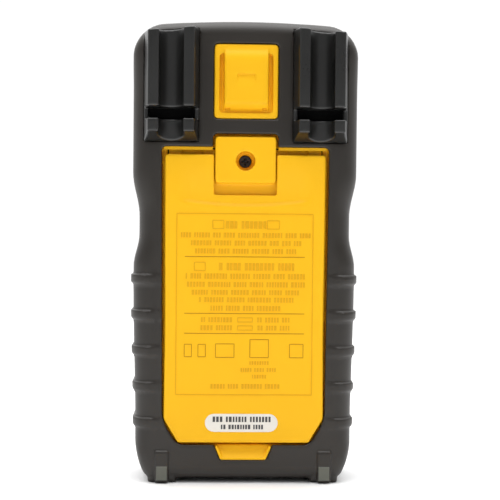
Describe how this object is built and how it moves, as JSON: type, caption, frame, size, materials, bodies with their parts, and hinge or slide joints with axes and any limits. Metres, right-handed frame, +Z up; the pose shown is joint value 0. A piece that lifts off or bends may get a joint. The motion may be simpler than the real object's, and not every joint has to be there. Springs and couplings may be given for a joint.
{
  "type": "handheld digital multimeter",
  "caption": "Handheld multimeter with a yellow inner case, dark rubber overmould, hinged tilt stand, probe holders, rotary selector, keys, blank display and input jacks.",
  "frame": {"origin": "middle of the meter's bounding box at its base, standing on its feet", "axes": "+Z up, the display faces -Y, the back with its stand faces +Y, +X to the right seen from the front"},
  "size_m": [0.0904, 0.049, 0.183],
  "materials": {
    "yellow_abs": "fine moulded texture",
    "overmould": "matt, fine grain",
    "holder_plastic": "satin",
    "seal": "matt",
    "silicone_mat": "matt",
    "screw_steel": "zinc plated",
    "screw_black": "black oxide",
    "brass": "turned",
    "pin_steel": "polished",
    "spring_steel": "nickel plated",
    "tin_plate": "tin plated",
    "label": "printed film",
    "bezel_plastic": "gloss",
    "lens": "clear",
    "lcd": "grey-green, blank",
    "white_plastic": "satin",
    "zebra": "matt",
    "overlay": "fine texture",
    "ring_red": "satin",
    "ring_grey": "satin",
    "jack_plastic": "satin",
    "knob_plastic": "satin",
    "pointer_white": "satin",
    "acetal": "satin",
    "board": "solder mask",
    "chip": "moulded",
    "capacitor": "sleeved",
    "fuse_ceramic": "glazed",
    "cell_jacket": "plain sleeve",
    "key_rubber": "satin"
  },
  "bodies": {
    "meter": {"front_case": "yellow_abs", "rear_case": "yellow_abs", "front_overmould": "overmould", "rear_overmould": "overmould", "case_gasket": "seal", "case_screws": "screw_steel", "probe_holder_left": "holder_plastic", "probe_holder_right": "holder_plastic", "probe_holder_screws": "screw_steel", "battery_door_gasket": "seal", "door_screw_insert": "brass", "display_bezel": "bezel_plastic", "display_lens": "lens", "lcd_panel": "lcd", "lcd_frame": "white_plastic", "backlight_panel": "white_plastic", "zebra_strips": "zebra", "face_overlay": "overlay", "jack_rings_red": "ring_red", "jack_rings_black": "ring_grey", "jack_block": "jack_plastic", "detent_ring": "acetal", "keypad_mat": "silicone_mat", "main_pcb": "board", "pcb_chips": "chip", "pcb_capacitors": "capacitor", "shield_can": "tin_plate", "buzzer": "chip", "fuse_10a": "fuse_ceramic", "fuse_ma": "fuse_ceramic", "fuse_clips": "brass", "battery_cell_1": "cell_jacket", "battery_cell_2": "cell_jacket", "battery_springs": "spring_steel", "battery_plates": "spring_steel", "input_jack_1": "brass", "input_jack_2": "brass", "input_jack_3": "brass", "input_jack_4": "brass"},
    "knob": {"rotary_knob": "knob_plastic", "knob_pointer": "pointer_white", "selector_rotor": "acetal", "rotor_contacts": "brass", "detent_balls": "pin_steel", "detent_springs": "spring_steel", "knob_clip": "pin_steel"},
    "door": {"battery_door": "yellow_abs", "stand_hinge_pins": "pin_steel"},
    "door_screw": {"battery_door_screw": "screw_black", "door_screw_retainer": "seal"},
    "stand": {"tilt_stand": "yellow_abs", "serial_label": "label"},
    "key_1": {"key_1": "key_rubber"},
    "key_2": {"key_2": "key_rubber"},
    "key_3": {"key_3": "key_rubber"},
    "key_4": {"key_4": "key_rubber"},
    "key_5": {"key_5": "key_rubber"}
  },
  "joints": [
    {"name": "knob_turn", "type": "hinge", "parent": "meter", "child": "knob", "pos_m": [0, -0.02, 0.072], "axis": [0, 1, 0], "range_deg": [0, 150]},
    {"name": "stand_tilt", "type": "hinge", "parent": "door", "child": "stand", "pos_m": [0, 0.0118, 0.1268], "axis": [1, 0, 0], "range_deg": [0, 38]},
    {"name": "door_tip", "type": "hinge", "parent": "meter", "child": "door", "pos_m": [0, 0.016, 0.0158], "axis": [-1, 0, 0], "range_deg": [0, 30]},
    {"name": "door_screw_back_out", "type": "slide", "parent": "door", "child": "door_screw", "axis": [0, 1, 0], "range_m": [0, 0.005]},
    {"name": "key_1_press", "type": "slide", "parent": "meter", "child": "key_1", "axis": [0, 1, 0], "range_m": [0, 0.0008], "stiffness_N_per_m": 1500, "springref_m": -0.0003},
    {"name": "key_2_press", "type": "slide", "parent": "meter", "child": "key_2", "axis": [0, 1, 0], "range_m": [0, 0.0008], "stiffness_N_per_m": 1500, "springref_m": -0.0003},
    {"name": "key_3_press", "type": "slide", "parent": "meter", "child": "key_3", "axis": [0, 1, 0], "range_m": [0, 0.0008], "stiffness_N_per_m": 1500, "springref_m": -0.0003},
    {"name": "key_4_press", "type": "slide", "parent": "meter", "child": "key_4", "axis": [0, 1, 0], "range_m": [0, 0.0008], "stiffness_N_per_m": 1500, "springref_m": -0.0003},
    {"name": "key_5_press", "type": "slide", "parent": "meter", "child": "key_5", "axis": [0, 1, 0], "range_m": [0, 0.0008], "stiffness_N_per_m": 1500, "springref_m": -0.0003}
  ]
}
